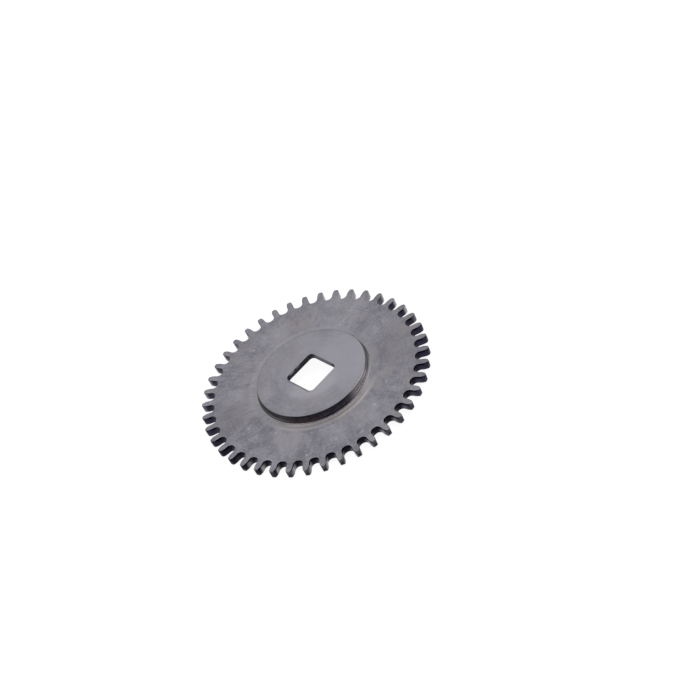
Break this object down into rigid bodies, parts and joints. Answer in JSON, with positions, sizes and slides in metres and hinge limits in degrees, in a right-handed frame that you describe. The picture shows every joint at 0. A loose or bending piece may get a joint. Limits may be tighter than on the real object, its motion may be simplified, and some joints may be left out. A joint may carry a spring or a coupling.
{
  "type": "ratchet wheel",
  "caption": "Flat toothed steel wheel with a raised round boss, a square hole through its centre and a round screw recess in its back; winds and locks a spring barrel.",
  "frame": {"origin": "centre of the flat back face, on the axis of the wheel", "axes": "+Z along the barrel arbor, from the back face towards the boss; +X through the middle of one tooth"},
  "size_m": [0.008, 0.008, 0.0005],
  "materials": {
    "hardened_steel": "fine turned satin"
  },
  "bodies": {
    "root": {"ratchet_wheel": "hardened_steel"}
  },
  "joints": []
}
